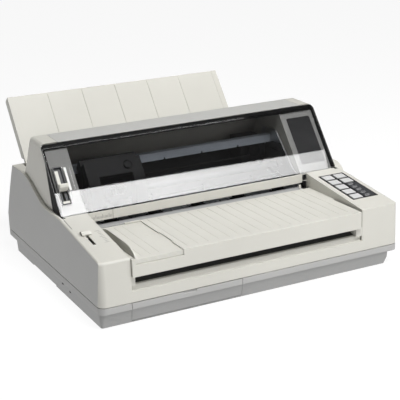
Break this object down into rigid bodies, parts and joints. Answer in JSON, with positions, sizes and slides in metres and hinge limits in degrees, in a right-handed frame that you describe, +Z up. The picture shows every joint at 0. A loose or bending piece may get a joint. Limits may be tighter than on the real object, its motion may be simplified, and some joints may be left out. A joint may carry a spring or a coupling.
{
  "type": "dot matrix printer",
  "caption": "Flatbed dot matrix printer: cream case, flat paper table in front, sloping smoked window on a rear-hinged cover, and a paper support leaning at the back.",
  "frame": {"origin": "on the ground, below the middle of the case", "axes": "+X to the operator's right, +Y towards the back, +Z up"},
  "size_m": [0.4915, 0.4288, 0.2364],
  "materials": {
    "case_cream": "fine textured moulding",
    "case_low": "fine textured moulding",
    "support_cream": "fine textured moulding",
    "black_plastic": "satin",
    "dark_plastic": "satin",
    "grey_key": "satin",
    "smoked_window": "clear, smoked, polished",
    "foam": "open-cell foam",
    "steel": "zinc plated",
    "rail_steel": "blue-grey",
    "black_rubber": "ground",
    "nylon": "moulded nylon",
    "motor_black": "satin",
    "board_green": "solder mask",
    "core_steel": "varnished laminations"
  },
  "bodies": {
    "chassis": {"lower_case": "case_low", "rubber_feet": "black_rubber", "upper_case": "case_cream", "paper_table": "case_cream", "front_strip": "case_cream", "entry_guide": "steel", "slot_guide": "black_plastic", "panel_bezel": "black_plastic", "indicator_plate": "dark_plastic", "panel_board": "board_green", "lever_bezel": "dark_plastic", "left_frame": "steel", "right_frame": "steel", "feed_motor": "motor_black", "guide_shaft": "steel", "guide_rail": "rail_steel", "carriage_belt": "black_rubber", "carriage_motor": "motor_black", "exit_chute": "dark_plastic", "main_board": "board_green", "transformer": "core_steel", "port_plate": "steel", "rear_sockets": "black_plastic"},
    "access_cover": {"top_cover": "case_cream", "window_frame": "black_plastic", "window_pane": "smoked_window", "cover_foam": "foam"},
    "rear_support": {"paper_support": "support_cream"},
    "flap": {"front_flap": "case_low"},
    "side_guide": {"left_guide": "case_cream"},
    "selector": {"select_lever": "case_cream"},
    "gap_lever": {"head_lever": "case_cream"},
    "platen_unit": {"platen": "black_rubber", "platen_shaft": "steel", "platen_knob": "case_cream", "platen_gear": "nylon"},
    "feed_unit": {"feed_roller": "black_rubber", "feed_gear": "nylon"},
    "idler": {"idler_gear": "nylon"},
    "reduction": {"reduction_gear": "nylon"},
    "pinion": {"motor_pinion": "nylon"},
    "pinch": {"pinch_roller": "black_rubber"},
    "head_carriage": {"carriage": "black_plastic", "print_head": "motor_black", "ribbon_cartridge": "black_plastic"},
    "belt_drive": {"drive_pulley": "nylon"},
    "belt_idler": {"idler_pulley": "nylon"},
    "bail": {"paper_bail": "steel"},
    "bail_wheels": {"bail_rollers": "black_rubber"},
    "rocker": {"power_rocker": "black_plastic"},
    "key_a1_cap": {"key_a1": "grey_key"},
    "key_a2_cap": {"key_a2": "grey_key"},
    "key_a3_cap": {"key_a3": "grey_key"},
    "key_a4_cap": {"key_a4": "grey_key"},
    "key_a5_cap": {"key_a5": "grey_key"},
    "key_b1_cap": {"key_b1": "grey_key"},
    "key_b2_cap": {"key_b2": "grey_key"}
  },
  "joints": [
    {"name": "cover_hinge", "type": "hinge", "parent": "chassis", "child": "access_cover", "pos_m": [0, 0.0671, 0.1944], "axis": [-1, 0, 0], "range_deg": [0, 90]},
    {"name": "support_hinge", "type": "hinge", "parent": "chassis", "child": "rear_support", "pos_m": [0, 0.138, 0.131], "axis": [-1, 0, 0], "range_deg": [-72, 0]},
    {"name": "flap_hinge", "type": "hinge", "parent": "chassis", "child": "flap", "pos_m": [-0.108, -0.1929, 0.0075], "axis": [1, 0, 0], "range_deg": [0, 80]},
    {"name": "guide_slide", "type": "slide", "parent": "chassis", "child": "side_guide", "axis": [1, 0, 0], "range_m": [0, 0.035]},
    {"name": "select_slide", "type": "slide", "parent": "chassis", "child": "selector", "axis": [0, 0.9916, 0.1294], "range_m": [-0.028, 0]},
    {"name": "gap_slide", "type": "slide", "parent": "chassis", "child": "gap_lever", "axis": [0, 0.5969, 0.8023], "range_m": [-0.012, 0.004]},
    {"name": "platen_turn", "type": "hinge", "parent": "chassis", "child": "platen_unit", "pos_m": [0, -0.003, 0.081], "axis": [1, 0, 0], "continuous": true},
    {"name": "feed_turn", "type": "hinge", "parent": "chassis", "child": "feed_unit", "pos_m": [0, -0.036, 0.081], "axis": [1, 0, 0], "continuous": true},
    {"name": "idler_turn", "type": "hinge", "parent": "chassis", "child": "idler", "pos_m": [0, -0.02276, 0.06738], "axis": [1, 0, 0], "continuous": true},
    {"name": "reduction_turn", "type": "hinge", "parent": "chassis", "child": "reduction", "pos_m": [0, 0.01538, 0.06262], "axis": [1, 0, 0], "continuous": true},
    {"name": "pinion_turn", "type": "hinge", "parent": "chassis", "child": "pinion", "pos_m": [0, 0.0267, 0.0513], "axis": [1, 0, 0], "continuous": true},
    {"name": "pinch_turn", "type": "hinge", "parent": "chassis", "child": "pinch", "pos_m": [0, -0.036, 0.0978], "axis": [1, 0, 0], "continuous": true},
    {"name": "carriage_slide", "type": "slide", "parent": "chassis", "child": "head_carriage", "axis": [1, 0, 0], "range_m": [0, 0.24]},
    {"name": "drive_pulley_turn", "type": "hinge", "parent": "chassis", "child": "belt_drive", "pos_m": [0.135, 0.052, 0.134], "axis": [0, 1, 0], "continuous": true},
    {"name": "idler_pulley_turn", "type": "hinge", "parent": "chassis", "child": "belt_idler", "pos_m": [-0.172, 0.052, 0.134], "axis": [0, 1, 0], "continuous": true},
    {"name": "bail_lift", "type": "hinge", "parent": "chassis", "child": "bail", "pos_m": [0, 0.041, 0.101], "axis": [-1, 0, 0], "range_deg": [0, 2.4]},
    {"name": "bail_wheel_turn", "type": "hinge", "parent": "bail", "child": "bail_wheels", "pos_m": [0, 0.017, 0.0986], "axis": [1, 0, 0], "continuous": true},
    {"name": "rocker_turn", "type": "hinge", "parent": "chassis", "child": "rocker", "pos_m": [0.119, 0.177, 0.0496], "axis": [1, 0, 0], "range_deg": [0, 16]},
    {"name": "key_a1_press", "type": "slide", "parent": "chassis", "child": "key_a1_cap", "axis": [0, 0.1294, -0.9916], "range_m": [0, 0.0008], "stiffness_N_per_m": 400},
    {"name": "key_a2_press", "type": "slide", "parent": "chassis", "child": "key_a2_cap", "axis": [0, 0.1294, -0.9916], "range_m": [0, 0.0008], "stiffness_N_per_m": 400},
    {"name": "key_a3_press", "type": "slide", "parent": "chassis", "child": "key_a3_cap", "axis": [0, 0.1294, -0.9916], "range_m": [0, 0.0008], "stiffness_N_per_m": 400},
    {"name": "key_a4_press", "type": "slide", "parent": "chassis", "child": "key_a4_cap", "axis": [0, 0.1294, -0.9916], "range_m": [0, 0.0008], "stiffness_N_per_m": 400},
    {"name": "key_a5_press", "type": "slide", "parent": "chassis", "child": "key_a5_cap", "axis": [0, 0.1294, -0.9916], "range_m": [0, 0.0008], "stiffness_N_per_m": 400},
    {"name": "key_b1_press", "type": "slide", "parent": "chassis", "child": "key_b1_cap", "axis": [0, 0.1294, -0.9916], "range_m": [0, 0.0008], "stiffness_N_per_m": 400},
    {"name": "key_b2_press", "type": "slide", "parent": "chassis", "child": "key_b2_cap", "axis": [0, 0.1294, -0.9916], "range_m": [0, 0.0008], "stiffness_N_per_m": 400}
  ],
  "couplings": [
    {"joint": "feed_turn", "follows": "platen_turn", "ratio": 1.4545},
    {"joint": "idler_turn", "follows": "platen_turn", "ratio": -2},
    {"joint": "reduction_turn", "follows": "platen_turn", "ratio": -1.6},
    {"joint": "pinion_turn", "follows": "platen_turn", "ratio": 2.6667},
    {"joint": "pinch_turn", "follows": "platen_turn", "ratio": -2.3273},
    {"joint": "bail_wheel_turn", "follows": "platen_turn", "ratio": -2.8},
    {"joint": "drive_pulley_turn", "follows": "carriage_slide", "rad_per_m": 115.61},
    {"joint": "idler_pulley_turn", "follows": "carriage_slide", "rad_per_m": 115.61}
  ]
}
